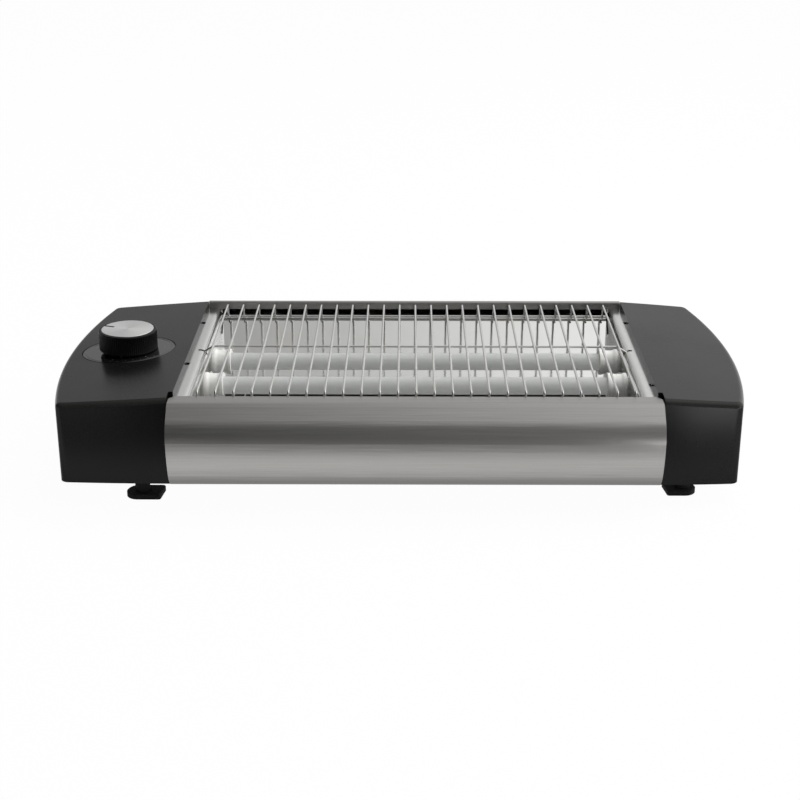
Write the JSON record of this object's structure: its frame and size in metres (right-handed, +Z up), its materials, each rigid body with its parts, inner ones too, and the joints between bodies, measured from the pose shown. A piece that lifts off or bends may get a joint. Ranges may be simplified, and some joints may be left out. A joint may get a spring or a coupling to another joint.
{
  "type": "horizontal toaster",
  "caption": "Flat toaster that bread is laid on: low body with bowed steel panels and dark end caps, a wire grill over frosted quartz tubes, and a timer knob.",
  "frame": {"origin": "on the table, under the middle of the toaster's outer box", "axes": "+X to the right along the tubes, +Y to the rear, +Z up; the bowed front panel faces -Y and the knob is on the left cap"},
  "size_m": [0.4, 0.209, 0.0763],
  "materials": {
    "cap_plastic": "dark grey satin moulding",
    "panel_steel": "long fine brushing along X",
    "frame_steel": "smooth mill finish",
    "base_steel": "galvanised sheet",
    "mirror_aluminium": "polished",
    "wire_chrome": "plated wire",
    "quartz": "frosted",
    "coil_wire": "dark resistance wire",
    "tube_ceramic": "unglazed",
    "tray_aluminium": "bright rolled sheet",
    "timer_plastic": "heat resistant moulding",
    "plated_steel": "zinc plated",
    "contact_brass": "bare",
    "dial_plastic": "fine grain",
    "knob_plastic": "moulded ribs",
    "disc_aluminium": "spun",
    "block_plastic": "moulded",
    "grommet_rubber": "matte",
    "lead_brown": "silicone sleeve",
    "lead_blue": "silicone sleeve",
    "lead_green": "silicone sleeve with a yellow stripe",
    "lead_white": "silicone sleeve",
    "foot_rubber": "matte"
  },
  "bodies": {
    "housing": {"left_end_cap": "cap_plastic", "right_end_cap": "cap_plastic", "front_panel": "panel_steel", "rear_panel": "panel_steel", "base_plate": "base_steel", "left_side_frame": "frame_steel", "right_side_frame": "frame_steel", "front_reflector": "mirror_aluminium", "rear_reflector": "mirror_aluminium", "grill_wires": "wire_chrome", "grill_front_rail": "wire_chrome", "grill_rear_rail": "wire_chrome", "grill_middle_rail": "wire_chrome", "front_quartz_tube": "quartz", "rear_quartz_tube": "quartz", "front_heating_coil": "coil_wire", "rear_heating_coil": "coil_wire", "front_left_tube_holder": "tube_ceramic", "front_right_tube_holder": "tube_ceramic", "rear_left_tube_holder": "tube_ceramic", "rear_right_tube_holder": "tube_ceramic", "holder_clips": "plated_steel", "tube_terminals": "plated_steel", "timer_case": "timer_plastic", "timer_plate": "plated_steel", "timer_tabs": "contact_brass", "timer_screws": "plated_steel", "dial_plate": "dial_plastic", "terminal_block": "block_plastic", "terminal_screws": "contact_brass", "cord_grommet": "grommet_rubber", "live_lead": "lead_brown", "timer_lead": "lead_white", "neutral_lead": "lead_blue", "earth_lead": "lead_green", "link_lead": "lead_white", "earth_tag": "contact_brass", "earth_screw": "plated_steel", "front_left_foot": "foot_rubber", "front_right_foot": "foot_rubber", "rear_left_foot": "foot_rubber", "rear_right_foot": "foot_rubber", "foot_screws": "plated_steel", "cap_screws": "plated_steel", "frame_screws": "plated_steel", "panel_screws": "plated_steel"},
    "knob": {"timer_shaft": "plated_steel", "knob_body": "knob_plastic", "knob_disc": "disc_aluminium", "knob_clip": "plated_steel"},
    "tray": {"crumb_tray": "tray_aluminium"}
  },
  "joints": [
    {"name": "knob_turn", "type": "hinge", "parent": "housing", "child": "knob", "pos_m": [-0.164, -0.00115, 0.06279], "axis": [0, 0, -1], "range_deg": [0, 270]},
    {"name": "crumb_tray_slide", "type": "slide", "parent": "housing", "child": "tray", "axis": [0, 1, 0], "range_m": [0, 0.165]}
  ]
}
